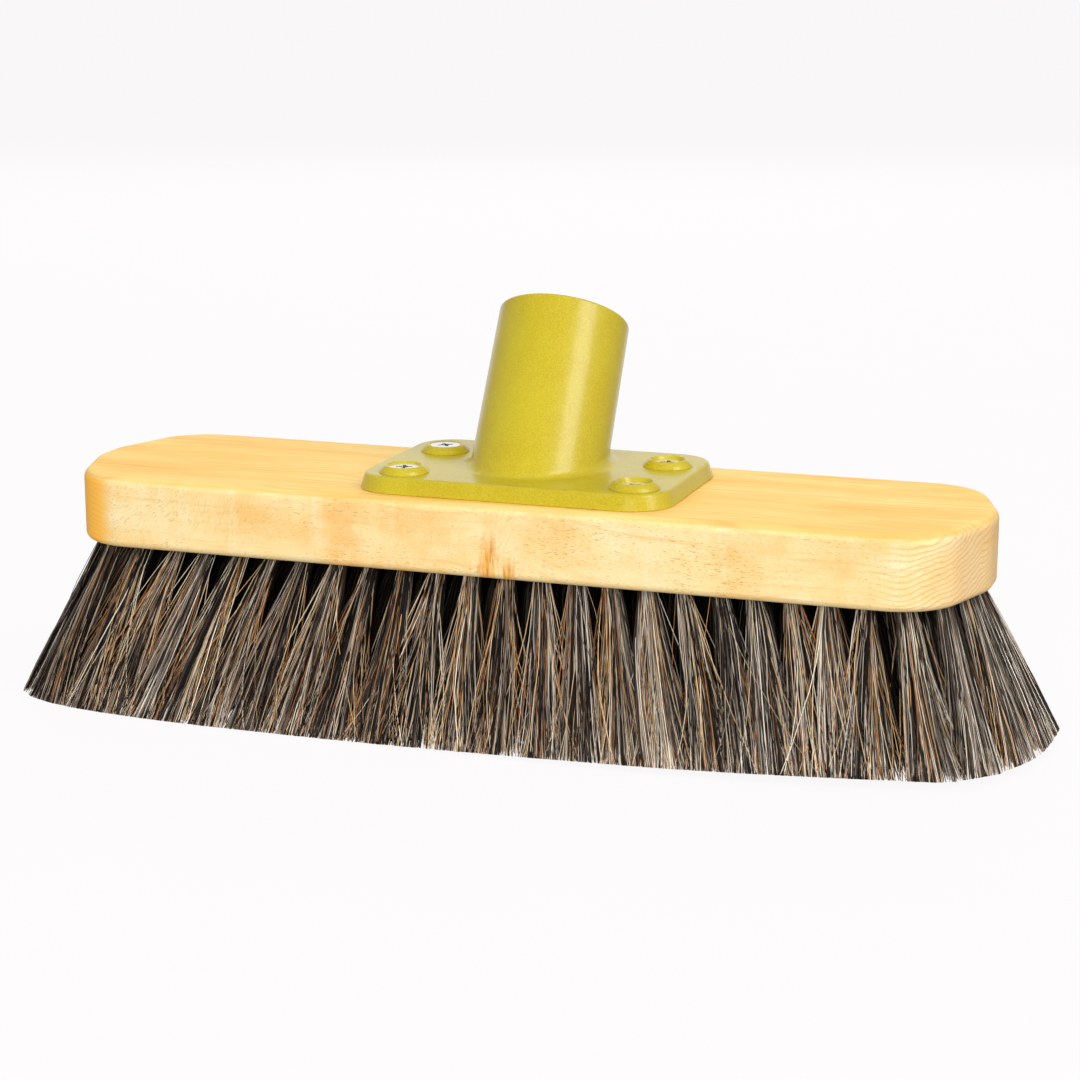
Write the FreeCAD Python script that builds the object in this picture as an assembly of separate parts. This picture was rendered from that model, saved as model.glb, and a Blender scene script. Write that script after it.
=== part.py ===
import FreeCAD, Part
import os, math

# Push broom head, 28 cm class: beech block, hair tufts held by anchor wires,
# moulded handle socket screwed on top.  Millimetres, +Z up, origin on the floor
# under the middle of the head, +X along the block, the handle leans towards +Y.
# The socket is one moulding; it is kept here as two nodes, its base plate and
# its tube, which meet on a plane just above the plate.

# ---------------------------------------------------------------- dimensions
HAIR_LEN = 50.0            # free height of the hair under the block
BLOCK_L, BLOCK_W, BLOCK_T = 280.0, 75.0, 21.5
END_TAPER = 10.2           # how much shorter the long sides are than the block, at each end
END_FLAT = 6.0             # half width of the straight middle of an end
CORNER_R = 20.0            # plan radius at every corner of the outline
EDGE_R_TOP, EDGE_R_BOTTOM = 2.6, 2.2

SOCKET_X, SOCKET_Y = 4.4, -0.5      # centre of the socket plate on the block
PLATE_L, PLATE_W, PLATE_T = 95.6, 65.0, 4.8         # at the plate's underside
PLATE_DRAFT = 1.5          # how far the plate's sides lean in over its thickness
PLATE_R, PLATE_EDGE_R = 13.0, 1.3
PLATE_FOOT = 0.35          # bevel under the plate's rim
TUBE_X = 3.75              # the tube's axis, along the block
TUBE_TILT = 30.0           # degrees from the vertical, towards +Y
TUBE_R_BASE, TUBE_R_RIM = 20.15, 19.7
TUBE_LEN = 46.6            # plate top to rim, along the tube's axis
TUBE_Y = 2.2               # where the axis meets the plate's top
TUBE_FILLET = 3.2
RIM_EDGE_R = 0.9
BORE_R, BORE_LEN, BORE_LEAD = 14.15, 36.0, 1.0
NODE_SPLIT = 0.3           # plane between the plate's and the tube's node, above the plate

SCREW_X, SCREW_Y = 5.5, -5.4        # centre of the screw rectangle
SCREW_DX, SCREW_DY = 70.5, 33.4     # screw rectangle
BOSS_R_BASE, BOSS_R_TOP, BOSS_H = 7.4, 5.65, 2.1
BOSS_MOUTH_R = 5.25        # recess over the screw head, at the crest
HEAD_R, HEAD_RIM, HEAD_CONE = 4.5, 0.35, 2.35
SHANK_R, THREAD_R, CORE_R = 2.15, 2.15, 1.45
SCREW_LEN = 16.0
HEAD_SINKS = [0.6, 1.3, 0.25, 1.0]   # head top below the boss top: front left, right, back left, right
THREAD_PITCH = 1.8
GAP = 0.05                 # free play round a screw

TUFT_HOLE_R, TUFT_R = 2.6, 2.45
TUFT_HOLE_DEPTH, DRILL_POINT = 9.6, 1.0
TUFT_TIP_R = 6.5           # tufts of a row run together just above the floor
END_TUFT_TIP_R = 5.3       # the fan-set end tufts stay apart
ANCHOR_T, ANCHOR_H, ANCHOR_L = 0.4, 2.0, 6.2
ANCHOR_UP = 6.8            # anchor's lower edge above the hole's mouth, along the hole
FAN_X, FAN_Y = 1.147, 1.333         # tip position over hole position

# rows of holes: name, y, outermost hole x, number of holes
ROWS = [
    ("row_1_front", -30.0, 120.0, 24),
    ("row_2", -18.0, 128.6, 25),
    ("row_3", -6.0, 132.0, 26),
    ("row_4", 6.0, 132.0, 26),
    ("row_5", 18.0, 128.6, 25),
    ("row_6_back", 30.0, 120.0, 24),
]

V = FreeCAD.Vector
Z = V(0, 0, 1)
BLOCK_Z0 = HAIR_LEN
BLOCK_Z1 = HAIR_LEN + BLOCK_T
PLATE_Z1 = BLOCK_Z1 + PLATE_T


def save(shape, name):
    if not shape.isValid():
        raise RuntimeError("invalid shape: " + name)
    shape.exportStep("parts/" + name + ".step")
    b = shape.optimalBoundingBox(True, False)
    print("%-22s solids %3d  vol %9.1f  x %.2f..%.2f y %.2f..%.2f z %.2f..%.2f" % (
        name, len(shape.Solids), shape.Volume, b.XMin, b.XMax, b.YMin, b.YMax, b.ZMin, b.ZMax))


def revolve(points, axis_point=V(0, 0, 0)):
    """Solid of revolution about Z from (r, z) points; the profile closes itself."""
    pts = [V(r, 0, z) for r, z in points]
    wire = Part.makePolygon(pts + [pts[0]])
    s = Part.Face(wire).revolve(V(0, 0, 0), Z, 360)
    s = Part.Solid(s) if s.ShapeType == "Shell" else s
    s.translate(axis_point)
    return s


# ---------------------------------------------------------------- block
def block_outline(z):
    """Plan outline before its corners are rounded: long sides, slanted ends with a short flat."""
    hl, hw = BLOCK_L / 2.0, BLOCK_W / 2.0
    xs = hl - END_TAPER
    p = [(-xs, -hw), (xs, -hw), (hl, -END_FLAT), (hl, END_FLAT),
         (xs, hw), (-xs, hw), (-hl, END_FLAT), (-hl, -END_FLAT)]
    pts = [V(x, y, z) for x, y in p]
    return Part.makePolygon(pts + [pts[0]])


def make_block():
    b = Part.Face(block_outline(BLOCK_Z0)).extrude(V(0, 0, BLOCK_T))
    b = b.makeFillet(CORNER_R, [e for e in b.Edges if abs(e.BoundBox.ZLength - BLOCK_T) < 1e-6])
    top = [e for e in b.Edges if abs(e.BoundBox.ZMin - BLOCK_Z1) < 1e-6 and abs(e.BoundBox.ZMax - BLOCK_Z1) < 1e-6]
    b = b.makeFillet(EDGE_R_TOP, top)
    bot = [e for e in b.Edges if abs(e.BoundBox.ZMin - BLOCK_Z0) < 1e-6 and abs(e.BoundBox.ZMax - BLOCK_Z0) < 1e-6]
    return b.makeFillet(EDGE_R_BOTTOM, bot)


# ---------------------------------------------------------------- tufts
def tuft_axes():
    """(group, mouth point, unit vector down along the tuft) for each hole."""
    out = []
    for name, y, xmax, n in ROWS:
        for i in range(n):
            x = -xmax + 2.0 * xmax * i / (n - 1)
            mouth = V(x, y, BLOCK_Z0)
            tip = V(x * FAN_X, y * FAN_Y, 0.0)
            d = tip.sub(mouth)
            d.normalize()
            group = name
            if i == 0:
                group = "left_end"
            elif i == n - 1:
                group = "right_end"
            out.append((group, mouth, d))
    return out


def along(p, d, t):
    return V(p.x + d.x * t, p.y + d.y * t, p.z + d.z * t)


def make_hole(mouth, d):
    """Drilled blind hole along the tuft's axis, open through the block's underside."""
    start = along(mouth, d, 3.0)
    up = V(-d.x, -d.y, -d.z)
    h = Part.makeCylinder(TUFT_HOLE_R, TUFT_HOLE_DEPTH + 3.0, start, up)
    end = along(mouth, d, -TUFT_HOLE_DEPTH)
    point = Part.makeCone(TUFT_HOLE_R, 0.0, DRILL_POINT, end, up)
    return h.fuse(point).removeSplitter()


def make_anchor(mouth, d):
    """Flat wire set across the hole, biting into the wood at both ends."""
    up = V(-d.x, -d.y, -d.z)
    b = Part.makeBox(ANCHOR_L, ANCHOR_T, ANCHOR_H)
    b.translate(V(-ANCHOR_L / 2.0, -ANCHOR_T / 2.0, 0.0))
    side = V(1, 0, 0)
    side = side.sub(V(up.x * side.dot(up), up.y * side.dot(up), up.z * side.dot(up)))
    side.normalize()
    third = up.cross(side)
    m = FreeCAD.Matrix(
        side.x, third.x, up.x, 0,
        side.y, third.y, up.y, 0,
        side.z, third.z, up.z, 0,
        0, 0, 0, 1)
    b = b.transformed(m)
    b.translate(along(mouth, d, -ANCHOR_UP))
    return b


def make_tuft(mouth, d, anchor, floor_r):
    """Hair tuft: straight in its hole, then a widening cone cut flat at the floor."""
    up = V(-d.x, -d.y, -d.z)
    top = Part.makeCylinder(TUFT_R, TUFT_HOLE_DEPTH - 0.3, mouth, up)
    length = HAIR_LEN / abs(d.z)
    tip_r = floor_r * abs(d.z)
    extra = 6.0
    slope = (tip_r - TUFT_R) / length
    cone = Part.makeCone(TUFT_R, tip_r + slope * extra, length + extra, mouth, d)
    cut = Part.makeBox(60, 60, 40)
    tip = along(mouth, d, length)
    cut.translate(V(tip.x - 30, tip.y - 30, -40))
    cone = cone.cut(cut)
    t = top.fuse(cone).removeSplitter()
    return t.cut(anchor)


# ---------------------------------------------------------------- screws
def screw_profile(extra):
    """(r, z) profile from the axis, z = 0 at the head's top, thread rings below."""
    pts = [(0.0, 0.0), (HEAD_R + extra, 0.0), (HEAD_R + extra, -HEAD_RIM),
           (SHANK_R + extra, -HEAD_RIM - HEAD_CONE)]
    z = -HEAD_RIM - HEAD_CONE - 1.9
    pts.append((SHANK_R + extra, z))
    z -= 0.5
    pts.append((CORE_R + extra, z))
    while z - THREAD_PITCH > -SCREW_LEN + 2.2:
        pts.append((CORE_R + extra, z - 0.5))
        pts.append((THREAD_R + extra, z - 1.0))
        pts.append((THREAD_R + extra, z - 1.15))
        pts.append((CORE_R + extra, z - THREAD_PITCH))
        z -= THREAD_PITCH
    pts.append((CORE_R + extra, -SCREW_LEN + 1.7))
    pts.append((0.25 + extra, -SCREW_LEN - extra))
    pts.append((0.0, -SCREW_LEN - extra))
    return pts


def make_screw(x, y, sink, turn):
    z0 = PLATE_Z1 + BOSS_H - sink
    s = revolve(screw_profile(0.0))
    depth, w_top, w_bot, thick = 2.3, 2.55, 0.9, 1.0
    for k in (0, 1):
        prof = Part.makePolygon([V(-w_top, -thick / 2, 0.2), V(w_top, -thick / 2, 0.2),
                                 V(w_bot, -thick / 2, -depth), V(-w_bot, -thick / 2, -depth),
                                 V(-w_top, -thick / 2, 0.2)])
        wing = Part.Face(prof).extrude(V(0, thick, 0))
        wing.rotate(V(0, 0, 0), Z, turn + 90 * k)
        s = s.cut(wing)
    core = Part.makeCone(1.35, 0.5, depth, V(0, 0, 0.001), V(0, 0, -1))
    s = s.cut(core)
    s.translate(V(x, y, z0))
    return s


def screw_clearance(x, y, sink, extra):
    s = revolve(screw_profile(extra))
    s.translate(V(x, y, PLATE_Z1 + BOSS_H - sink))
    return s


# ---------------------------------------------------------------- handle socket
def make_plate():
    """Plate with drafted sides, rounded corners and top edge, bevelled under its rim."""
    hx, hy, d, z0, z1 = PLATE_L / 2, PLATE_W / 2, PLATE_DRAFT, BLOCK_Z1, PLATE_Z1
    ix, iy = hx - PLATE_R, hy - PLATE_R                # centres of the corner cones
    across = Part.makePolygon([V(-hx, -iy, z0), V(hx, -iy, z0), V(hx - d, -iy, z1),
                               V(-hx + d, -iy, z1), V(-hx, -iy, z0)])
    plate = Part.Face(across).extrude(V(0, 2 * iy, 0))
    along_y = Part.makePolygon([V(-ix, -hy, z0), V(-ix, hy, z0), V(-ix, hy - d, z1),
                                V(-ix, -hy + d, z1), V(-ix, -hy, z0)])
    plate = plate.fuse(Part.Face(along_y).extrude(V(2 * ix, 0, 0)))
    for sx in (-1, 1):
        for sy in (-1, 1):
            plate = plate.fuse(Part.makeCone(PLATE_R, PLATE_R - d, PLATE_T, V(sx * ix, sy * iy, z0)))
    plate = plate.removeSplitter()
    top = [e for e in plate.Edges if e.BoundBox.ZMin > z1 - 1e-4]
    plate = plate.makeFillet(PLATE_EDGE_R, top)
    foot = [e for e in plate.Edges if e.BoundBox.ZMax < z0 + 1e-4]
    plate = plate.makeChamfer(PLATE_FOOT, foot)
    plate.translate(V(SOCKET_X, SOCKET_Y, 0))
    return plate


def make_boss(x, y):
    """Raised screw seat: a low disc with a rounded, leaning flank."""
    w = Part.Wire([
        Part.LineSegment(V(0, 0, -0.5), V(BOSS_R_BASE, 0, -0.5)).toShape(),
        Part.LineSegment(V(BOSS_R_BASE, 0, -0.5), V(BOSS_R_BASE, 0, 0.25)).toShape(),
        Part.Arc(V(BOSS_R_BASE, 0, 0.25), V(BOSS_R_BASE - 0.62, 0, 1.12), V(BOSS_R_TOP, 0, BOSS_H)).toShape(),
        Part.LineSegment(V(BOSS_R_TOP, 0, BOSS_H), V(0, 0, BOSS_H)).toShape(),
        Part.LineSegment(V(0, 0, BOSS_H), V(0, 0, -0.5)).toShape()])
    s = Part.Face(w).revolve(V(0, 0, 0), Z, 360)
    s = Part.Solid(s) if s.ShapeType == "Shell" else s
    s.translate(V(x, y, PLATE_Z1))
    return s


def make_socket(screw_points):
    """The moulding's two nodes: (plate with its screw seats, tube with its bore)."""
    a = math.radians(TUBE_TILT)
    axis = V(0, math.sin(a), math.cos(a))
    foot = V(TUBE_X, TUBE_Y, PLATE_Z1)                # axis meets the plate's top
    plate = make_plate()
    # tapered tube, started under the plate's top and cut off inside the plate
    slope = (TUBE_R_RIM - TUBE_R_BASE) / TUBE_LEN
    back = 14.0
    tube = Part.makeCone(TUBE_R_BASE - slope * back, TUBE_R_RIM, TUBE_LEN + back,
                         along(foot, axis, -back), axis)
    rim_edges = [e for e in tube.Edges
                 if (e.CenterOfMass.sub(along(foot, axis, TUBE_LEN))).Length < 0.01 and len(e.Vertexes) == 1]
    tube = tube.makeFillet(RIM_EDGE_R, rim_edges)
    under = Part.makeBox(120, 120, 60, V(TUBE_X - 60, -60, BLOCK_Z1 + 1.0 - 60))
    tube = tube.cut(under)
    body = plate.fuse(tube).removeSplitter()
    # fillet where the tube grows out of the plate
    foot_edges = []
    for e in body.Edges:
        bb = e.BoundBox
        if abs(bb.ZMin - PLATE_Z1) < 1e-4 and abs(bb.ZMax - PLATE_Z1) < 1e-4:
            c = e.CenterOfMass
            if bb.XLength < 2 * TUBE_R_BASE + 6 and abs(c.x - TUBE_X) < 8 and bb.XLength > 8:
                foot_edges.append(e)
    body = body.makeFillet(TUBE_FILLET, foot_edges)
    upper = Part.makeBox(200, 200, 100, V(-100, -100, PLATE_Z1 + NODE_SPLIT))
    tube = body.common(upper)
    plate = body.cut(upper)
    for x, y, sink in screw_points:
        plate = plate.fuse(make_boss(x, y))
    plate = plate.removeSplitter()
    for x, y, sink in screw_points:
        plate = plate.cut(screw_clearance(x, y, sink, GAP))
        # dished mouth above the screw's head
        mouth = Part.makeCone(HEAD_R + GAP, BOSS_MOUTH_R, sink + 0.01,
                              V(x, y, PLATE_Z1 + BOSS_H - sink), Z)
        plate = plate.cut(mouth)
    # blind bore for the handle, with a lead-in
    rim_c = along(foot, axis, TUBE_LEN)
    back_dir = V(-axis.x, -axis.y, -axis.z)
    bore = Part.makeCylinder(BORE_R, BORE_LEN + BORE_LEAD, rim_c, back_dir)
    lead = Part.makeCone(BORE_R + BORE_LEAD, BORE_R, BORE_LEAD, rim_c, back_dir)
    tube = tube.cut(bore.fuse(lead))
    return plate, tube


def one_solid(shape):
    return shape.Solids[0] if len(shape.Solids) == 1 else shape


# ---------------------------------------------------------------- build
os.makedirs("parts", exist_ok=True)

corners = [(-1, -1), (1, -1), (-1, 1), (1, 1)]
screw_points = [(SCREW_X + sx * SCREW_DX / 2, SCREW_Y + sy * SCREW_DY / 2, sink)
                for (sx, sy), sink in zip(corners, HEAD_SINKS)]
screw_names = ["screw_front_left", "screw_front_right", "screw_back_left", "screw_back_right"]
screw_turns = [18.0, 52.0, 35.0, 8.0]

tufts = {}
anchors = {}
cutters = []
for group, mouth, d in tuft_axes():
    anchor = make_anchor(mouth, d)
    cutters.append(make_hole(mouth, d).fuse(anchor))
    anchors.setdefault(group, []).append(anchor)
    floor_r = END_TUFT_TIP_R if group.endswith("_end") else TUFT_TIP_R
    tufts.setdefault(group, []).append(make_tuft(mouth, d, anchor, floor_r))

block = make_block()
block = block.cut(Part.makeCompound(cutters))
for x, y, sink in screw_points:
    block = block.cut(screw_clearance(x, y, sink, GAP))
save(one_solid(block), "wooden_block")

plate, tube = make_socket(screw_points)
save(one_solid(plate), "socket_plate")
save(one_solid(tube), "socket_tube")

for name, (x, y, sink), turn in zip(screw_names, screw_points, screw_turns):
    save(make_screw(x, y, sink, turn), name)

order = [r[0] for r in ROWS] + ["left_end", "right_end"]
for group in order:
    solids = [s.Solids[0] for s in tufts[group]]
    if group.endswith("_end"):
        hair = Part.makeCompound(solids)
    else:
        # the hair of one row meshes into a single fringe at the tips
        hair = solids[0].multiFuse(solids[1:])
        if len(hair.Solids) != 1:
            raise RuntimeError("row of hair in %d pieces: %s" % (len(hair.Solids), group))
        hair = hair.Solids[0]
    save(hair, "tufts_" + group)
for group in order:
    save(Part.makeCompound([s.Solids[0] for s in anchors[group]]), "anchors_" + group)

print("tufts", sum(len(v) for v in tufts.values()))
a = math.radians(TUBE_TILT)
rim = V(TUBE_X, TUBE_Y + TUBE_LEN * math.sin(a), PLATE_Z1 + TUBE_LEN * math.cos(a))
low = TUBE_LEN - BORE_LEN - BORE_LEAD
print("rim centre", rim, "bore floor above plate top along axis", low)
print("bore floor lowest z", PLATE_Z1 + low * math.cos(a) - BORE_R * math.sin(a), "block top", BLOCK_Z1)
mid = TUBE_LEN - BORE_LEAD - BORE_LEN / 2
print("bore middle", TUBE_X, TUBE_Y + mid * math.sin(a), PLATE_Z1 + mid * math.cos(a))
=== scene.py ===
import math

import bpy
import numpy as np
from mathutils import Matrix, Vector


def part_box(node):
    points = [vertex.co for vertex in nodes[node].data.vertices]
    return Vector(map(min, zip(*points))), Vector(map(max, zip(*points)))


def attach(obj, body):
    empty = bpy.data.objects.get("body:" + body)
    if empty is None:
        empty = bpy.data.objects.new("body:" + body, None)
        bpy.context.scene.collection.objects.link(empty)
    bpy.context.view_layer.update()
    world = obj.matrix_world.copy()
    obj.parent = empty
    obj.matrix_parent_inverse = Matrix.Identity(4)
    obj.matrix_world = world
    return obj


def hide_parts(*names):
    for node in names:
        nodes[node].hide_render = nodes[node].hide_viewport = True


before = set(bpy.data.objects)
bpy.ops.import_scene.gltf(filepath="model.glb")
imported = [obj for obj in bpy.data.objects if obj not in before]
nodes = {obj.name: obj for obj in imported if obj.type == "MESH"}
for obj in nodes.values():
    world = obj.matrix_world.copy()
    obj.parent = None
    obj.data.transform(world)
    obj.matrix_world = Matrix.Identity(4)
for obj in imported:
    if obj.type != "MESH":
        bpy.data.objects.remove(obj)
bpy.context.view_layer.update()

MM = 0.001
rng = np.random.default_rng(20417)

block_lo, block_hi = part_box("wooden_block")
BLOCK_BOTTOM, BLOCK_TOP = block_lo.z, block_hi.z

# ------------------------------------------------------------------ camera
scene = bpy.context.scene
cam_data = bpy.data.cameras.new("camera")
cam = bpy.data.objects.new("camera", cam_data)
scene.collection.objects.link(cam)
cam_data.sensor_width = 36.0
cam_data.lens = 84.004
cam_data.clip_start = 0.01
cam_data.clip_end = 200.0
cam.location = (0.24411, -0.69175, BLOCK_TOP + 0.15429)
look = Vector((-0.31841, 0.91984, -0.22915))
cam.rotation_euler = look.to_track_quat("-Z", "Y").to_euler()
scene.camera = cam

scene.view_settings.view_transform = "Standard"
scene.view_settings.look = "None"
scene.view_settings.exposure = 0.0
scene.view_settings.gamma = 1.0


# ------------------------------------------------------------------ node helpers
class Mat:
    """A small builder for node materials."""

    def __init__(self, name):
        self.m = bpy.data.materials.new(name)
        self.m.use_nodes = True
        self.nt = self.m.node_tree
        self.n = self.nt.nodes
        self.bsdf = self.n["Principled BSDF"]

    def node(self, kind, **props):
        nd = self.n.new(kind)
        for k, v in props.items():
            setattr(nd, k, v)
        return nd

    def link(self, a, b):
        self.nt.links.new(a, b)

    def coords(self, scale=(1, 1, 1), rotation=(0, 0, 0), location=(0, 0, 0)):
        """Object coordinates in millimetres, then scaled."""
        tc = self.node("ShaderNodeTexCoord")
        mp = self.node("ShaderNodeMapping")
        mp.inputs["Scale"].default_value = tuple(1000.0 * s for s in scale)
        mp.inputs["Rotation"].default_value = rotation
        mp.inputs["Location"].default_value = location
        self.link(tc.outputs["Object"], mp.inputs["Vector"])
        return mp.outputs["Vector"]

    def noise(self, vec, scale=1.0, detail=2.0, rough=0.5, distortion=0.0):
        t = self.node("ShaderNodeTexNoise")
        t.inputs["Scale"].default_value = scale
        t.inputs["Detail"].default_value = detail
        t.inputs["Roughness"].default_value = rough
        t.inputs["Distortion"].default_value = distortion
        if vec is not None:
            self.link(vec, t.inputs["Vector"])
        return t.outputs["Fac"]

    def ramp(self, fac, stops, interp="LINEAR"):
        r = self.node("ShaderNodeValToRGB")
        r.color_ramp.interpolation = interp
        e = r.color_ramp.elements
        while len(e) < len(stops):
            e.new(0.5)
        for el, (p, c) in zip(e, stops):
            el.position = p
            el.color = c if len(c) == 4 else (*c, 1.0)
        self.link(fac, r.inputs["Fac"])
        return r.outputs["Color"]

    def maprange(self, v, a, b, c, d, smooth=False):
        r = self.node("ShaderNodeMapRange")
        r.interpolation_type = "SMOOTHSTEP" if smooth else "LINEAR"
        r.inputs["From Min"].default_value = a
        r.inputs["From Max"].default_value = b
        r.inputs["To Min"].default_value = c
        r.inputs["To Max"].default_value = d
        self.link(v, r.inputs["Value"])
        return r.outputs["Result"]

    def math(self, op, a, b=None, clamp=False):
        r = self.node("ShaderNodeMath")
        r.operation = op
        r.use_clamp = clamp
        for i, v in enumerate((a, b)):
            if v is None:
                continue
            if isinstance(v, (int, float)):
                r.inputs[i].default_value = v
            else:
                self.link(v, r.inputs[i])
        return r.outputs[0]

    def mix(self, fac, a, b, blend="MIX"):
        r = self.node("ShaderNodeMix")
        r.data_type = "RGBA"
        r.blend_type = blend
        for sock, v in ((r.inputs[0], fac), (r.inputs[6], a), (r.inputs[7], b)):
            if isinstance(v, (int, float)):
                sock.default_value = v
            elif isinstance(v, (tuple, list)):
                sock.default_value = v if len(v) == 4 else (*v, 1.0)
            else:
                self.link(v, sock)
        return r.outputs[2]

    def separate(self, vec):
        r = self.node("ShaderNodeSeparateXYZ")
        self.link(vec, r.inputs[0])
        return r.outputs

    def combine(self, x, y, z):
        r = self.node("ShaderNodeCombineXYZ")
        for i, v in enumerate((x, y, z)):
            if isinstance(v, (int, float)):
                r.inputs[i].default_value = v
            else:
                self.link(v, r.inputs[i])
        return r.outputs[0]

    def bump(self, height, strength, distance):
        b = self.node("ShaderNodeBump")
        b.inputs["Strength"].default_value = strength
        b.inputs["Distance"].default_value = distance
        self.link(height, b.inputs["Height"])
        self.link(b.outputs["Normal"], self.bsdf.inputs["Normal"])
        return b

    def set(self, **kw):
        for k, v in kw.items():
            self.bsdf.inputs[k.replace("_", " ")].default_value = v


def srgb(r, g, b):
    f = lambda c: c / 255 / 12.92 if c / 255 <= 0.04045 else ((c / 255 + 0.055) / 1.055) ** 2.4
    return (f(r), f(g), f(b), 1.0)


# ------------------------------------------------------------------ beech
def beech():
    m = Mat("beech_oiled")
    tc = m.node("ShaderNodeTexCoord")
    nx, ny, nz = m.separate(tc.outputs["Normal"])
    x, y, z = m.separate(m.coords(location=(0, 0, -BLOCK_TOP / MM)))     # z is 0 at the top face
    mul, add, sub = (lambda p, q: m.math("MULTIPLY", p, q)), (lambda p, q: m.math("ADD", p, q)), \
        (lambda p, q: m.math("SUBTRACT", p, q))

    def field(sx, sy, sz, detail=2.0, rough=0.5, seed=0.0, xx=x, yy=y, zz=z):
        v = m.combine(add(mul(xx, sx), seed), mul(yy, sy), mul(zz, sz))
        return m.noise(v, 1.0, detail, rough)

    def lines(phase, lo, hi):
        """Thin lines, one to each whole step of the phase."""
        f = m.math("FRACT", phase)
        return m.maprange(m.math("ABSOLUTE", sub(f, 0.5)), lo * 0.5, hi * 0.5, 0.0, 1.0, True)

    # broad face, seen on the top: long straight grain, faint darker lines
    wav = field(0.010, 0.035, 0.0, 2.0, 0.5, 3.0)
    yw = add(y, mul(wav, 15.0))
    tone = field(0.013, 0.10, 0.0, 3.0, 0.55, 9.0, yy=yw)
    upper = m.ramp(tone, [(0.30, srgb(250, 198, 116)), (0.50, srgb(252, 211, 136)), (0.70, srgb(254, 220, 152))])
    glow = field(0.022, 0.05, 0.0, 2.0, 0.5, 41.0)
    upper = m.mix(m.maprange(glow, 0.50, 0.70, 0.0, 0.55, True), upper, srgb(250, 190, 104))
    year = lines(add(mul(yw, 0.31), mul(field(0.006, 0.05, 0.0, 2.0, 0.6, 17.0), 3.4)), 0.55, 1.0)
    faint = m.maprange(field(0.03, 0.09, 0.0, 2.0, 0.5, 23.0), 0.36, 0.62, 0.06, 0.52, True)
    upper = m.mix(mul(year, faint), upper, srgb(228, 164, 82))
    hair_lines = m.maprange(field(0.035, 1.5, 0.0, 3.0, 0.6, 5.0, yy=yw), 0.50, 0.70, 0.0, 0.42, True)
    upper = m.mix(hair_lines, upper, srgb(236, 176, 92))
    upper = m.mix(1.0, upper, (1.04, 1.063, 0.868, 1.0), "MULTIPLY")

    # quartered face, seen on the front: cream clouds, ripple and short ray flecks
    turn = m.maprange(x, 4.0, 12.0, 0.0, 1.0, True)
    bend = mul(m.math("POWER", 2.718, mul(m.math("MAXIMUM", sub(x, 10.0), 0.0), -0.055)), mul(turn, -11.0))
    wz = field(0.028, 0.02, 0.05, 2.0, 0.5, 11.0)
    v = add(sub(z, mul(y, 0.28)), add(mul(wz, 5.0), bend))
    cloud = field(0.050, 0.04, 0.095, 3.0, 0.55, 2.0)
    side = m.ramp(cloud, [(0.30, srgb(250, 205, 130)), (0.46, srgb(252, 220, 153)), (0.62, srgb(253, 230, 172)),
                          (0.76, srgb(255, 239, 192))])
    ripple = field(0.19, 0.10, 0.035, 2.0, 0.5, 29.0)
    side = m.mix(m.maprange(ripple, 0.50, 0.70, 0.0, 0.26, True), side, srgb(255, 242, 200))
    side = m.mix(m.maprange(ripple, 0.28, 0.42, 0.18, 0.0, True), side, srgb(247, 204, 124))
    streak = field(0.030, 0.0, 0.75, 4.0, 0.62, 37.0, zz=v)
    side = m.mix(m.maprange(streak, 0.50, 0.70, 0.0, 0.50, True), side, srgb(240, 192, 116))
    warm = m.maprange(m.math("ABSOLUTE", add(x, 43.0)), 1.0, 9.0, 0.55, 0.0, True)
    warm = mul(warm, m.maprange(field(0.12, 0.1, 0.12, 2.0, 0.5, 51.0), 0.35, 0.6, 0.2, 1.0, True))
    side = m.mix(warm, side, srgb(246, 184, 96))

    # flecks: slanting at the left end, level elsewhere, in drifts
    slant = m.maprange(x, -95.0, -70.0, 0.62, 0.0, True)
    vf = sub(z, mul(x, slant))
    uf = add(x, mul(z, slant))
    fleck = m.noise(m.combine(mul(uf, 0.62), mul(y, 0.6), mul(vf, 3.4)), 1.0, 1.0, 0.5)
    fine = m.noise(m.combine(add(mul(uf, 0.95), 7.0), mul(y, 0.9), mul(vf, 5.0)), 1.0, 2.0, 0.55)
    drift = m.maprange(field(0.035, 0.05, 0.07, 2.0, 0.5, 61.0), 0.38, 0.60, 0.15, 1.0, True)
    spread = m.maprange(field(0.05, 0.05, 0.10, 2.0, 0.5, 67.0), 0.34, 0.54, 0.25, 1.0, True)
    side = m.mix(mul(m.maprange(fine, 0.58, 0.67, 0.0, 0.60, True), spread), side, srgb(226, 176, 100))
    flecks = mul(m.maprange(fleck, 0.635, 0.70, 0.0, 0.56, True), drift)
    side = m.mix(flecks, side, srgb(186, 138, 74))

    # a small knot that runs up from the lower edge of the front
    ragged = field(0.55, 0.3, 0.16, 3.0, 0.65, 71.0)
    threads = field(1.5, 0.5, 0.11, 2.0, 0.6, 77.0)
    shift = mul(sub(ragged, 0.5), 8.0)
    kx = sub(sub(x, 1.2), add(mul(add(z, 21.0), 0.14), shift))
    k1 = mul(m.maprange(m.math("ABSOLUTE", kx), 0.2, 3.6, 1.0, 0.0, True), m.maprange(z, -4.0, -17.0, 0.10, 1.0, True))
    kx2 = sub(sub(x, 8.2), mul(shift, 0.8))
    k2 = mul(m.maprange(m.math("ABSOLUTE", kx2), 0.2, 2.6, 0.85, 0.0, True), m.maprange(z, -14.0, -20.0, 0.0, 1.0, True))
    front = m.maprange(y, -34.0, -37.0, 0.0, 1.0, True)
    knot = mul(m.math("MAXIMUM", k1, k2), front)
    side = m.mix(mul(knot, 0.85), side, srgb(244, 178, 74))
    side = m.mix(mul(mul(m.maprange(threads, 0.47, 0.62, 0.0, 1.0, True), knot), 0.80), side, srgb(205, 122, 32))

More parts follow.
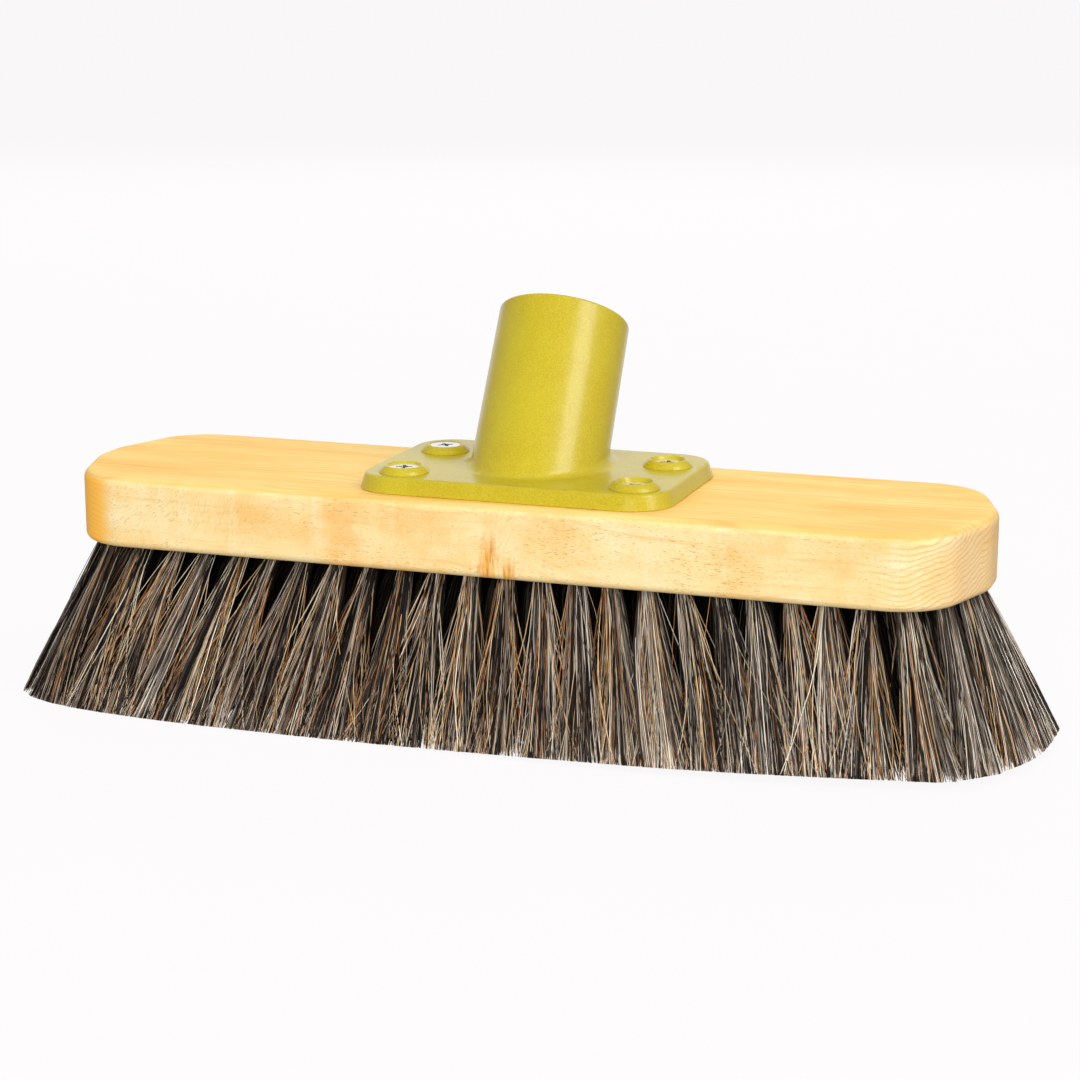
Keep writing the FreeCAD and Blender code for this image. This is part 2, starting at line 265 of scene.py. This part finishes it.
    # year rings run out over the right corner
    sway = field(0.035, 0.07, 0.05, 2.0, 0.55, 81.0)
    ring = lines(mul(add(sub(z, mul(y, 0.42)), mul(sway, 9.0)), 0.62), 0.50, 1.0)
    run = m.maprange(x, 106.0, 128.0, 0.0, 0.50, True)
    # the front is painted paler towards the right corner: painted light on that corner
    side = m.mix(m.maprange(x, 120.0, 138.0, 0.0, 0.22, True), side, srgb(254, 216, 168))
    side = m.mix(mul(ring, run), side, srgb(222, 150, 88))
    # end grain of the left corner
    end_grain_and_painted_light = m.maprange(nx, -0.12, -0.50, 0.0, 0.80, True)
    side = m.mix(end_grain_and_painted_light, side, srgb(255, 184, 66))
    endr = m.maprange(nx, 0.60, 0.98, 0.0, 0.20, True)
    side = m.mix(endr, side, srgb(250, 196, 118))

    col = m.mix(m.maprange(nz, 0.30, 0.86, 0.0, 1.0, True), side, upper)
    col = m.mix(1.0, col, (WOOD_GAIN[0], WOOD_GAIN[1], WOOD_GAIN[2], 1.0), "MULTIPLY")
    # the end grain is laid again past the gain, lighter: partly its own colour, partly painted light on the left end
    end_grain_and_painted_light = mul(end_grain_and_painted_light, m.maprange(nz, 0.35, 0.80, 1.0, 0.0, True))
    end_grain_and_painted_light = mul(end_grain_and_painted_light, m.maprange(nx, -0.74, -0.98, 1.0, 0.30, True))
    col = m.mix(mul(end_grain_and_painted_light, 1.1), col, srgb(255, 189, 74))
    col = m.mix(mul(mul(ring, end_grain_and_painted_light), 0.30), col, srgb(216, 146, 62))
    # the rounded top edge is painted a shade darker: painted shade, toning down the light it catches
    edge = m.maprange(m.math("ABSOLUTE", sub(nz, 0.72)), 0.04, 0.24, 0.16, 0.0, True)
    col = m.mix(edge, col, (0.30, 0.22, 0.12, 1.0))
    m.link(col, m.bsdf.inputs["Base Color"])
    m.link(m.maprange(streak, 0.3, 0.7, 0.50, 0.62), m.bsdf.inputs["Roughness"])
    m.bump(add(mul(fleck, -0.6), mul(streak, 0.5)), 0.09, 0.0003)
    m.set(Specular_IOR_Level=0.22)
    return m.m


WOOD_GAIN = (0.88, 0.862, 0.868)


# ------------------------------------------------------------------ olive moulding
def olive():
    m = Mat("olive_satin_moulding")
    c = m.coords()
    grain = m.noise(c, 2.3, 2.0, 0.6)
    mott = m.noise(c, 0.40, 2.0, 0.5)
    broad = m.noise(c, 0.05, 2.0, 0.5)
    col = m.ramp(grain, [(0.34, srgb(173, 153, 15)), (0.5, srgb(184, 164, 23)), (0.66, srgb(194, 176, 32))])
    col = m.mix(m.maprange(mott, 0.35, 0.65, 0.0, 0.25, True), col, srgb(175, 153, 6))
    col = m.mix(m.maprange(broad, 0.40, 0.62, 0.0, 0.30, True), col, srgb(192, 180, 34))
    m.link(col, m.bsdf.inputs["Base Color"])
    m.link(m.maprange(grain, 0.3, 0.7, 0.40, 0.47), m.bsdf.inputs["Roughness"])
    m.bump(grain, 0.05, 0.00015)
    m.set(Specular_IOR_Level=0.45, Coat_Weight=0.6, Coat_Roughness=0.20)
    return m.m


def steel():
    m = Mat("bright_zinc_steel")
    x, y, z = m.separate(m.coords())
    nz = m.separate(m.node("ShaderNodeTexCoord").outputs["Normal"])[2]
    right, back = m.math("GREATER_THAN", x, HEAD_MID[0]), m.math("GREATER_THAN", y, HEAD_MID[1])
    fl, fr, bl, br = HEAD_TOPS
    top = m.math("ADD", m.math("MULTIPLY", right, fr - fl), fl)
    top = m.math("ADD", top, m.math("MULTIPLY", back, bl - fl))
    top = m.math("ADD", top, m.math("MULTIPLY", m.math("MULTIPLY", right, back), br - bl - fr + fl))
    z = m.math("SUBTRACT", z, top)                 # 0 at each head's own top
    n = m.noise(m.coords(), 1.6, 3.0, 0.6)
    col = m.ramp(n, [(0.3, (0.80, 0.80, 0.79)), (0.7, (0.95, 0.95, 0.94))])
    # the cross recess and the sloping faces of the head are painted dark: painted shade
    painted_recess_shade = m.math("MAXIMUM", m.maprange(z, -0.5, -1.3, 0.0, 0.95, True), m.maprange(nz, 0.97, 0.60, 0.0, 0.80, True))
    col = m.mix(painted_recess_shade, col, (0.05, 0.047, 0.042))
    m.link(col, m.bsdf.inputs["Base Color"])
    m.link(m.maprange(n, 0.3, 0.7, 0.14, 0.28), m.bsdf.inputs["Roughness"])
    m.bump(n, 0.08, 0.0003)
    m.set(Metallic=0.70)
    return m.m


HEADS = [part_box("screw_" + k) for k in ("front_left", "front_right", "back_left", "back_right")]
HEAD_TOPS = [b[1].z / MM for b in HEADS]
HEAD_MID = [sum((b[0][i] + b[1][i]) / 2 for b in HEADS) / 4 / MM for i in (0, 1)]


def wire():
    m = Mat("anchor_wire")
    n = m.noise(m.coords(), 2.0, 2.0, 0.5)
    m.link(m.ramp(n, [(0.3, (0.35, 0.35, 0.34)), (0.7, (0.55, 0.55, 0.54))]), m.bsdf.inputs["Base Color"])
    m.link(m.maprange(n, 0.3, 0.7, 0.3, 0.45), m.bsdf.inputs["Roughness"])
    m.set(Metallic=1.0)
    return m.m


# ------------------------------------------------------------------ hair
TONES, SHADES = 64, 8        # strand colours come in this many steps, one map cell each


def hair_material():
    m = Mat("mixed_hair")
    a = m.node("ShaderNodeAttribute")
    a.attribute_type = "GEOMETRY"
    a.attribute_name = "strand"
    tone, shade, along = m.separate(a.outputs["Vector"])
    # dark to pale grey-brown, then rust, tan and straw
    col = m.ramp(tone, [
        (0.00, srgb(10, 7, 5)),
        (0.20, srgb(54, 44, 37)),
        (0.42, srgb(126, 111, 99)),
        (0.62, srgb(206, 189, 172)),
        (0.79, srgb(255, 246, 231)),
        (0.82, srgb(118, 74, 42)),
        (0.89, srgb(196, 134, 82)),
        (0.92, srgb(232, 184, 126)),
        (1.00, srgb(255, 242, 212)),
    ])
    # strands of the inner rows are painted dark as painted shade, deepest at the root
    inner = m.maprange(shade, 0.55, 0.70, 0.0, 1.0)
    root = m.math("MULTIPLY", inner, m.maprange(along, 0.25, 1.0, 0.92, 0.40, True))
    # each strand is darkened by its shade value: at random in the outer rows, as painted shade in the inner rows
    col = m.mix(m.maprange(shade, 0.0, 0.5, 0.0, 0.48), col, (0.006, 0.004, 0.003))
    col = m.mix(root, col, (0.004, 0.003, 0.002))
    m.link(col, m.bsdf.inputs["Base Color"])
    # dark hair is duller, pale hair has more sheen
    rough = m.math("ADD", m.maprange(tone, 0.05, 0.50, 0.32, 0.0), m.maprange(shade, 0.0, 1.0, 0.28, 0.50))
    m.link(rough, m.bsdf.inputs["Roughness"])
    m.set(Specular_IOR_Level=0.32)
    return m.m


HAIR = hair_material()

# The drilled pattern of the CAD block: group, row y, outermost x, count (mm).
ROWS = [
    ("row_1_front", -30.0, 120.0, 24),
    ("row_2", -18.0, 128.6, 25),
    ("row_3", -6.0, 132.0, 26),
    ("row_4", 6.0, 132.0, 26),
    ("row_5", 18.0, 128.6, 25),
    ("row_6_back", 30.0, 120.0, 24),
]
FAN_X, FAN_Y = 1.147, 1.333
BOTTOM = BLOCK_BOTTOM / MM
SEGS = 6

# Trimmed outline of the hair at its tips, seen from above (mm).  The head is
# a little worn: the front right is cut narrower and shorter.
LEFT_CORNER = [(-157.2, 15.0), (-157.0, 22.0), (-156.5, 28.2), (-154.5, 32.2), (-149.0, 36.8),
               (-141.0, 40.2), (-132.0, 42.6), (-121.0, 44.3), (-104.0, 45.8), (-86.0, 46.5)]
FRONT_RIGHT = [(20.0, -46.5), (40.0, -46.2), (60.0, -45.5), (80.0, -43.5), (96.0, -41.0), (108.0, -38.9),
               (122.0, -36.1), (132.0, -34.1), (137.0, -31.5), (142.0, -26.3), (147.0, -21.0),
               (151.0, -12.0), (153.0, -7.6), (155.0, -1.2), (156.3, 10.0), (157.0, 20.0)]
BACK_RIGHT = [(156.8, 26.0), (155.0, 31.0), (150.0, 36.5), (141.0, 40.5), (130.0, 43.0), (110.0, 45.6),
              (86.0, 46.5)]
FOOT = np.array([(x, -y) for x, y in LEFT_CORNER] + FRONT_RIGHT + BACK_RIGHT
                + [(x, y) for x, y in reversed(LEFT_CORNER)])


def foot_planes():
    nxt = np.roll(FOOT, -1, axis=0)
    e = nxt - FOOT
    n = np.stack([e[:, 1], -e[:, 0]], -1)
    n /= np.linalg.norm(n, axis=1, keepdims=True)
    return n, (n * FOOT).sum(1)


FOOT_N, FOOT_D = foot_planes()


def to_foot(cx, cy, ex, ey):
    """Pulls tip points that lie outside the outline back onto it, towards (cx, cy)."""
    dx, dy = ex - cx, ey - cy
    den = dx[:, None] * FOOT_N[:, 0] + dy[:, None] * FOOT_N[:, 1]
    room = FOOT_D - (cx * FOOT_N[:, 0] + cy * FOOT_N[:, 1])
    t = np.where(den > 1e-9, room / np.maximum(den, 1e-9), np.inf).min(1)
    k = np.clip(t, 0.0, 1.0)
    k = np.where(k < 1.0, k * (1.0 - np.abs(rng.normal(0, 0.006, len(k)))), k)
    return cx + dx * k, cy + dy * k


def trim(x):
    """Height of the trimmed tips above the floor."""
    u = np.clip((x + 60.0) / 165.0, 0.0, 1.0)
    return 2.4 * u * u * (3 - 2 * u)


# The outline through the outermost drilled holes, fanned out to tip scale (mm).
HOLES = np.array([(-120.0, -30.0), (120.0, -30.0), (128.6, -18.0), (132.0, -6.0), (132.0, 6.0), (128.6, 18.0),
                  (120.0, 30.0), (-120.0, 30.0), (-128.6, 18.0), (-132.0, 6.0), (-132.0, -6.0), (-128.6, -18.0)])
HOLES = HOLES * [FAN_X, FAN_Y]


def reach_of(poly, d):
    """Distance from the centre to a convex outline, in direction d."""
    nxt = np.roll(poly, -1, axis=0)
    e = nxt - poly
    n = np.stack([e[:, 1], -e[:, 0]], -1)
    den = n @ d
    num = (n * poly).sum(1)
    return float(np.where(den > 1e-9, num / np.maximum(den, 1e-9), np.inf).min())


def tip_centre(mx, my, inset):
    """Centre of a tuft's tips: the outermost tufts end a little inside the trimmed outline."""
    q = np.array([mx * FAN_X, my * FAN_Y])
    if abs(mx) > 119 and abs(my) > 29:
        q = q * [1.045, 0.97]
    L = np.linalg.norm(q)
    d = q / L
    edge = reach_of(HOLES, d)
    k = (reach_of(FOOT, d) - inset) / edge
    depth = min(L / edge, 1.0)
    return q * (1.0 + (k - 1.0) * depth)


def tuft(mx, my, fine, locks, bloom, inner):
    """Strand centre lines of one tuft, with tone, shade and radius."""
    tx, ty = tip_centre(mx, my, 2.6)
    reach_x, reach_y = (7.4, 8.4) if inner else (7.0, 7.6)
    # bundles that hang together
    nl = 9
    lx = rng.uniform(-1, 1, nl) * (reach_x - 1.0)
    ly = rng.uniform(-1, 1, nl) * (reach_y - 1.0)
    cross = np.where(rng.random(nl) < 0.22, -0.5, 1.0)
    rlx, rly = lx * 0.30 * cross, ly * 0.26
    lbend = rng.normal(0, 0.85, (nl, 2))
    llean = rng.normal(0, 0.15, nl)
    lwarm = rng.random(nl) ** 2.0 * 3.2 * rng.choice([0.35, 0.9, 1.7], p=[0.40, 0.32, 0.28])
    # each tuft's tone shifts at random, and is darker at the left end and lighter to the right, partly painted light
    # from the right
    tuft_tone_and_painted_light = rng.normal(0, 0.05) + (-0.07 if mx < -92 else 0.14 if mx > 92 else 0.04 if mx > 20 else 0.0)
    count = fine + locks
    pick = rng.integers(0, nl, count)
    free = rng.random(count) < 0.34
    fa, fr = rng.random(count) * 2 * math.pi, np.sqrt(rng.random(count))
    ox = np.where(free, 2.3 * fr * np.cos(fa), rlx[pick] + rng.normal(0, 0.6, count))
    oy = np.where(free, 2.3 * fr * np.sin(fa), rly[pick] + rng.normal(0, 0.6, count))
    sx = np.where(free, ox / 2.35 * reach_x + rng.normal(0, 1.3, count), lx[pick] + rng.normal(0, 1.35, count))
    sy = np.where(free, oy / 2.35 * reach_y + rng.normal(0, 1.4, count), ly[pick] + rng.normal(0, 1.5, count))
    # strays wander across their neighbours, on the outside of the tuft
    edge_tuft = abs(mx) > 118
    stray = (rng.random(count) < (0.05 if inner or edge_tuft else 0.13)) & (np.arange(count) < fine)
    side = -1.0 if my < 0 else 1.0
    sx = np.where(stray, sx + rng.normal(0, 3.0 if edge_tuft else 8.5, count), sx)
    sy = np.where(stray, np.abs(rng.normal(0, 4.0, count)) * side + sy, sy)
    oy = np.where(stray & (not inner), np.abs(oy) * side, oy)
    far = np.hypot(ox, oy)
    ox, oy = ox * np.minimum(1, 2.35 / np.maximum(far, 1e-6)), oy * np.minimum(1, 2.35 / np.maximum(far, 1e-6))
    thick = np.arange(count) >= fine          # a few dark, dense locks fill the middle
    sx, sy = np.where(thick, sx * 0.8, sx), np.where(thick, sy * 0.8, sy)
    ax, ay = mx * 1.02, my * 1.02
    ex, ey = to_foot(ax, ay, tx + sx, ty + sy)
    zt = trim(ex) + np.abs(rng.normal(0, 0.05, count)) + np.where(rng.random(count) < 0.015, rng.random(count) * 1.0, 0)
    t = np.linspace(0, 1, SEGS + 1)[None, :]
    g = t ** 0.62 if inner else bloom * t + (1 - bloom) * t * t
    g = np.where(stray[:, None], 0.30 * t + 0.70 * t * t, g)
    ox, oy = ox[:, None], oy[:, None]
    px = mx + (tx - mx) * t + ox + (ex[:, None] - tx - ox) * g
    py = my + (ty - my) * t + oy + (ey[:, None] - ty - oy) * g
    # the fitted tips are at t = 1; in between come the bends
    zr = BOTTOM + 1.5 - 0.5 * rng.random((count, 1))
    pz = zr + (zt[:, None] - zr) * t
    s1, s2 = np.sin(math.pi * t), np.sin(2 * math.pi * t)
    amp = np.where(stray, 0.7 if edge_tuft else 1.5, 0.36)[:, None]
    bx = lbend[pick, 0][:, None] * ~free[:, None] * (0.5 if edge_tuft else 1.0) + rng.normal(0, 1, (count, 1)) * amp
    by = lbend[pick, 1][:, None] * ~free[:, None] + rng.normal(0, 1, (count, 1)) * amp * 0.6
    px = px + bx * s1 + rng.normal(0, 0.24, (count, 1)) * s2
    py = py + by * s1 + rng.normal(0, 0.18, (count, 1)) * s2
    kink = rng.normal(0, 0.10, (2, count, SEGS + 1))
    kink[:, :, 0] = kink[:, :, 1] = kink[:, :, -1] = 0.0
    lines = np.stack([px + kink[0], py + kink[1], pz], -1)
    # colour
    lean = np.where(free, 0.0, llean[pick])
    tone = np.clip(rng.beta(0.46, 0.90, count) * 0.80 + lean + tuft_tone_and_painted_light, 0.0, 0.785)
    w = rng.random(count) / np.where(free, 1.0, 0.30 + lwarm[pick])
    tone = np.where(w < 0.100, rng.uniform(0.83, 0.895, count), tone)
    tone = np.where(w < 0.055, rng.uniform(0.91, 0.96, count), tone)
    tone = np.where(w < 0.026, rng.uniform(0.96, 1.0, count), tone)
    tone = np.where(stray & (rng.random(count) < 0.62), rng.uniform(0.86, 1.0, count), tone)
    shade = rng.random(count) * 0.49
    tone = np.where(thick, rng.uniform(0.02, 0.16, count), tone)
    shade = np.where(thick, 0.36 + 0.13 * rng.random(count), shade)
    # the outer tufts at the right end are darkened less: painted light
    if mx > 100 and not inner:
        shade = shade * 0.35
    # inner strands get shade values that the hair material turns into painted shade
    if inner:
        shade = 0.72 + 0.27 * shade / 0.5
        # the inner rows at the right end get almost no painted shade: painted light
        if mx > 108:                          # the right end is open to the light
            shade = np.full(count, 0.57)
    if inner:
        radius = np.where(tone > 0.8, rng.uniform(0.10, 0.165, count), rng.uniform(0.11, 0.195, count))
    else:
        radius = np.where(tone > 0.8, rng.uniform(0.085, 0.165, count), rng.uniform(0.085, 0.185, count))
    if inner:
        radius = radius * 1.25
    radius = np.where(thick, rng.uniform(0.42, 0.62, count), radius)
    return lines, tone, shade, radius


def rim_locks(mx, my, count):
    """Dark, thick locks that end along the trimmed outline, so the tips close up to a dense edge."""
    tx, ty = tip_centre(mx, my, 2.6)
    j = int(np.argmax(FOOT_N @ [tx, ty] - FOOT_D))
    out = FOOT_N[j]
    along = np.array([-out[1], out[0]])
    u = ((np.arange(count) + rng.random(count)) / count * 2 - 1) * 6.6
    w = rng.uniform(-2.5, 3.4, count)
    ex, ey = to_foot(mx * 1.02, my * 1.02, tx + along[0] * u + out[0] * w, ty + along[1] * u + out[1] * w)
    zt = trim(ex) + 0.02
    t = np.linspace(0, 1, SEGS + 1)[None, :]
    fa, fr = rng.random(count) * 2 * math.pi, np.sqrt(rng.random(count)) * 1.6
    ox = 0.18 * along[0] * u + fr * np.cos(fa) * 0.5
    oy = 0.18 * along[1] * u + fr * np.sin(fa) * 0.5
    g = 0.62 * t + 0.38 * t * t
    px = mx + (tx - mx) * t + ox[:, None] + (ex - tx - ox)[:, None] * g
    py = my + (ty - my) * t + oy[:, None] + (ey - ty - oy)[:, None] * g
    bend = rng.normal(0, 0.4, (2, count, 1)) * np.sin(math.pi * t)
    zr = BOTTOM + 1.2
    pz = zr + (zt[:, None] - zr) * t
    lines = np.stack([px + bend[0], py + bend[1], pz + 0 * px], -1)
    return lines, rng.uniform(0.04, 0.50, count), 0.10 + 0.3 * rng.random(count), rng.uniform(0.20, 0.40, count)


def strand_mesh(name, lines, tone, shade, radius):
    """Closed three-sided tapered strands as one mesh, with per-point strand data
    and a colour map in which strands of one colour share a cell."""
    n, k, _ = lines.shape
    ti = np.clip((tone * TONES).astype(int), 0, TONES - 1)
    si = np.clip((shade * SHADES).astype(int), 0, SHADES - 1)
    d = np.gradient(lines, axis=1)
    d /= np.linalg.norm(d, axis=2, keepdims=True)
    ref = np.zeros((n, 1, 3))
    a = rng.random(n) * 2 * math.pi
    ref[:, 0, 0], ref[:, 0, 1] = np.cos(a), np.sin(a)
    u = ref - d * (d * ref).sum(2, keepdims=True)
    u /= np.linalg.norm(u, axis=2, keepdims=True)
    v = np.cross(d, u)
    t = np.linspace(0, 1, k)
    taper = (1.0 - 0.22 * t)[None, :, None]
    verts = []
    for j in range(3):
        ang = 2 * math.pi * j / 3
        verts.append(lines + (u * math.cos(ang) + v * math.sin(ang)) * radius[:, None, None] * taper)
    co = np.stack(verts, 2)                       # strand, ring, corner
    co[:, -1, :, 2] = lines[:, -1, 2][:, None]    # tips are cut level
    co[:, 0, :, 2] = lines[:, 0, 2][:, None]
    co = co.reshape(-1, 3) * MM
    co[:, 2] = np.maximum(co[:, 2], 0.0)
    base = (np.arange(n) * k * 3)[:, None, None]
    quads, quv = [], []
    for i in range(k - 1):
        for j in range(3):
            j2 = (j + 1) % 3
            quads.append([i * 3 + j, i * 3 + j2, (i + 1) * 3 + j2, (i + 1) * 3 + j])
            quv.append([(0.2, t[i]), (0.8, t[i]), (0.8, t[i + 1]), (0.2, t[i + 1])])
    quads = (np.array(quads)[None] + base).reshape(-1, 4)
    e = (k - 1) * 3
    caps = (np.array([[e + 2, e + 1, e], [0, 1, 2]])[None] + base).reshape(-1, 3)
    cuv = [[(0.2, 0.96), (0.8, 0.96), (0.5, 1.0)], [(0.2, 0.0), (0.8, 0.0), (0.5, 0.04)]]
    me = bpy.data.meshes.new(name)
    me.vertices.add(len(co))
    me.vertices.foreach_set("co", co.astype(np.float32).ravel())
    me.loops.add(quads.size + caps.size)
    me.loops.foreach_set("vertex_index", np.concatenate([quads.ravel(), caps.ravel()]).astype(np.int32))
    nq, nc = len(quads), len(caps)
    me.polygons.add(nq + nc)
    starts = np.concatenate([np.arange(nq) * 4, nq * 4 + np.arange(nc) * 3]).astype(np.int32)
    me.polygons.foreach_set("loop_start", starts)
    me.update(calc_edges=True)
    me.polygons.foreach_set("use_smooth", np.concatenate([np.ones(nq, bool), np.zeros(nc, bool)]))
    # each colour has a cell of the map; the cell's length follows the strand
    cell = np.stack([ti / TONES, si / SHADES], -1)

    def place(uv):
        uv = np.array(uv).reshape(-1, 2)
        uv = uv * [1.0, 0.9] + [0.0, 0.05]
        return (cell[:, None, :] + uv[None] / [TONES, SHADES]).reshape(-1, 2)

    layer = me.uv_layers.new(name="OFBake")
    layer.uv.foreach_set("vector", np.concatenate([place(quv), place(cuv)]).astype(np.float32).ravel())
    at = me.attributes.new("strand", "FLOAT_VECTOR", "POINT")
    data = np.zeros((n, k, 3, 3), np.float32)
    data[..., 0] = ((ti + 0.5) / TONES)[:, None, None]
    data[..., 1] = ((si + 0.5) / SHADES)[:, None, None]
    data[..., 2] = t[None, :, None]
    at.data.foreach_set("vector", data.ravel())
    ob = bpy.data.objects.new(name, me)
    scene.collection.objects.link(ob)
    me.materials.append(HAIR)
    return ob


groups, rims = {}, {}
for name, y, xmax, n in ROWS:
    outer = name in ("row_1_front", "row_6_back")
    for i in range(n):
        x = -xmax + 2 * xmax * i / (n - 1)
        end = i == 0 or i == n - 1
        group = "left_end" if i == 0 else "right_end" if i == n - 1 else name
        second = name in ("row_2", "row_5") and i in (1, n - 2)
        if outer or end or second:
            made = tuft(x, y, 420, 14, 0.62, False)
            rims.setdefault(group, []).append(rim_locks(x, y, 28))
        else:
            made = tuft(x, y, 140, 30, 0.62, True)
        groups.setdefault(group, []).append(made)

MOST = 5200                  # strands in one piece
for group, parts in groups.items():
    parts = parts + rims.get(group, [])
    data = [np.concatenate([p[i] for p in parts]) for i in range(4)]
    pieces = -(-len(data[1]) // MOST)
    for k in range(pieces):
        lines, tone, shade, radius = (a[k::pieces] for a in data)
        ob = strand_mesh("hair_%s_%d" % (group, k + 1), lines, tone, shade, radius)
        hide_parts("tufts_" + group)
        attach(ob, "root")

# ------------------------------------------------------------------ CAD nodes: finishes
WOOD, OLIVE, STEEL, WIRE = beech(), olive(), steel(), wire()


def paint(node, material):
    me = nodes[node].data
    if not me.materials:
        me.materials.append(material)
    for i in range(len(me.materials)):
        me.materials[i] = material


for n in nodes:
    if n == "wooden_block":
        paint(n, WOOD)
    elif n in ("socket_plate", "socket_tube"):
        paint(n, OLIVE)
    elif n.startswith("screw_"):
        paint(n, STEEL)
    elif n.startswith("anchors_"):
        paint(n, WIRE)

# ------------------------------------------------------------------ floor and light
def stage_mesh(name, verts, faces):
    me = bpy.data.meshes.new(name)
    me.from_pydata(verts, [], faces)
    ob = bpy.data.objects.new(name, me)
    scene.collection.objects.link(ob)
    return ob


S = 40.0
floor = stage_mesh("floor", [(-S, -S, 0), (S, -S, 0), (S, S, 0), (-S, S, 0)], [(0, 1, 2, 3)])
floor.location.z = -0.0002
fm = Mat("floor_pale")
fn = fm.noise(fm.coords(), 0.02, 2.0, 0.5)
fm.link(fm.ramp(fn, [(0.3, (0.049, 0.048, 0.0485)), (0.7, (0.051, 0.050, 0.0505))]), fm.bsdf.inputs["Base Color"])
fm.set(Roughness=0.8, Specular_IOR_Level=0.0, Emission_Color=(1.0, 0.985, 0.99, 1.0), Emission_Strength=0.926)
floor.data.materials.append(fm.m)
floor.visible_diffuse = False
floor.visible_glossy = False

world = bpy.data.worlds.new("studio")
scene.world = world
world.use_nodes = True
wt = world.node_tree
bg = wt.nodes["Background"]
# a soft tent, brighter low down at the back, where the plate mirrors it
geo = wt.nodes.new("ShaderNodeTexCoord")
sep = wt.nodes.new("ShaderNodeSeparateXYZ")
wt.links.new(geo.outputs["Generated"], sep.inputs[0])


def wnode(kind, **props):
    nd = wt.nodes.new(kind)
    for k, v in props.items():
        setattr(nd, k, v)
    return nd


def wrange(src, a, b, c, d):
    r = wnode("ShaderNodeMapRange", interpolation_type="SMOOTHSTEP")
    for k, v in zip(("From Min", "From Max", "To Min", "To Max"), (a, b, c, d)):
        r.inputs[k].default_value = v
    wt.links.new(src, r.inputs["Value"])
    return r.outputs["Result"]


def wmul(a, b, op="MULTIPLY"):
    r = wnode("ShaderNodeMath", operation=op)
    for i, v in enumerate((a, b)):
        if isinstance(v, (int, float)):
            r.inputs[i].default_value = v
        else:
            wt.links.new(v, r.inputs[i])
    return r.outputs[0]


low = wrange(sep.outputs[2], 0.62, 0.34, 0.0, 1.0)
# direction towards the back, a little to the left
facing = wmul(wmul(sep.outputs[0], -0.33), wmul(sep.outputs[1], 0.944), "ADD")
back = wrange(facing, 0.72, 0.90, 0.0, 1.0)
tent = wmul(wmul(wmul(low, back), 0.66), 0.34, "ADD")
# seen directly, the surroundings are plain white
seen = wnode("ShaderNodeLightPath").outputs["Is Camera Ray"]
wt.links.new(wmul(tent, wmul(seen, wmul(0.955, tent, "SUBTRACT")), "ADD"), bg.inputs["Strength"])
bg.inputs["Color"].default_value = (1.0, 0.99, 0.985, 1.0)


def area(name, azimuth, elevation, distance, size, energy, glossy=True):
    """A softbox; azimuth runs from the front (-Y) towards +X."""
    az, el = math.radians(azimuth), math.radians(elevation)
    loc = Vector((math.sin(az) * math.cos(el), -math.cos(az) * math.cos(el), math.sin(el))) * distance
    loc.z += 0.08
    ld = bpy.data.lights.new(name, "AREA")
    ld.shape = "RECTANGLE"
    ld.size, ld.size_y = size
    ld.energy = energy
    ob = bpy.data.objects.new(name, ld)
    scene.collection.objects.link(ob)
    ob.location = loc
    ob.rotation_euler = (Vector((0, 0, 0.08)) - loc).to_track_quat("-Z", "Y").to_euler()
    ob.visible_camera = False
    ob.visible_glossy = glossy
    return ob


area("softbox_right", 74, 38, 1.8, (0.75, 1.3), 15.0)
area("fill_front", 12, 16, 2.0, (1.1, 0.7), 34.0, glossy=False)
area("overhead", 0, 80, 2.0, (1.3, 1.3), 8.5, glossy=False)
area("fill_left", -75, 20, 2.0, (1.0, 0.8), 2.0, glossy=False)
area("fill_back", 195, 28, 2.0, (1.6, 1.0), 18.0, glossy=False)
